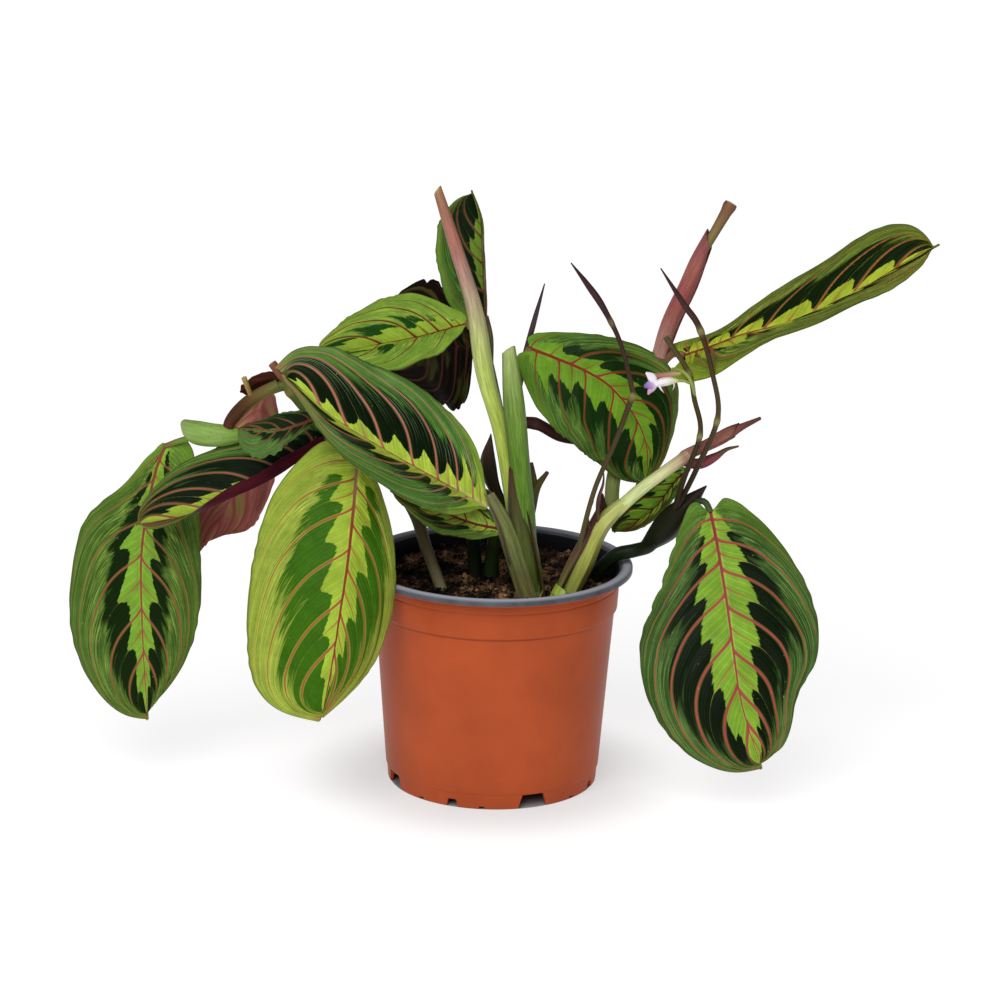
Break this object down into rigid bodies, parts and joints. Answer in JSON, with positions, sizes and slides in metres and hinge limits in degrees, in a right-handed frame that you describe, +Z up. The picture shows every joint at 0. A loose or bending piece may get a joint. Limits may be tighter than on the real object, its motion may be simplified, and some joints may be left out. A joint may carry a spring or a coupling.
{
  "type": "potted prayer plant",
  "caption": "Potted prayer plant: patterned oval leaves with red veins on arching jointed stems, rooted in peat in a tapered nursery pot.",
  "frame": {"origin": "centre of the pot's base, on the plane the pot stands on", "axes": "+Z up the pot's axis, -Y towards the viewer, +X to the viewer's right, along the plant's widest spread"},
  "size_m": [0.3713, 0.1317, 0.2616],
  "materials": {
    "pot_plastic": "smooth terracotta-coloured plastic with a soft sheen, dark inside and on the lip",
    "peat": "dark crumbly peat with bark chips",
    "stem_grey_green": "ridged grey-green petiole",
    "stem_green": "fresh green petioles with purple-brown edges",
    "stem_dark": "dark green to brown stem",
    "stem_yellow_green": "yellow-green stem shading to dusty pink",
    "stem_black_green": "very dark green stem and brown jointed stalks",
    "leaf_dark": "satin dark green blade with lime centre band and salmon veins",
    "leaf_lime": "satin lime green blade with darker blotches and red veins",
    "leaf_underside": "satin maroon-red underside",
    "petal": "thin white petals with a lilac patch"
  },
  "bodies": {
    "root": {"pot": "pot_plastic", "soil": "peat", "flower": "petal", "left_stem": "stem_grey_green", "centre_stems": "stem_green", "back_stem": "stem_dark", "right_stem": "stem_yellow_green", "hanging_stem": "stem_black_green", "back_stub_left": "stem_dark", "back_stub_right": "stem_dark", "leaf_front_right": "leaf_dark", "leaf_front_left": "leaf_lime", "leaf_far_left": "leaf_dark", "leaf_front_dark": "leaf_dark", "leaf_low_centre": "leaf_lime", "leaf_upper_left": "leaf_lime", "leaf_top": "leaf_lime", "leaf_rear_dark": "leaf_underside", "leaf_left_folded": "leaf_dark", "leaf_left_curled": "leaf_dark", "leaf_left_small": "leaf_underside", "leaf_left_rear": "leaf_underside", "leaf_right_centre": "leaf_dark", "leaf_right_low": "leaf_lime", "leaf_far_right": "leaf_dark"}
  },
  "joints": []
}
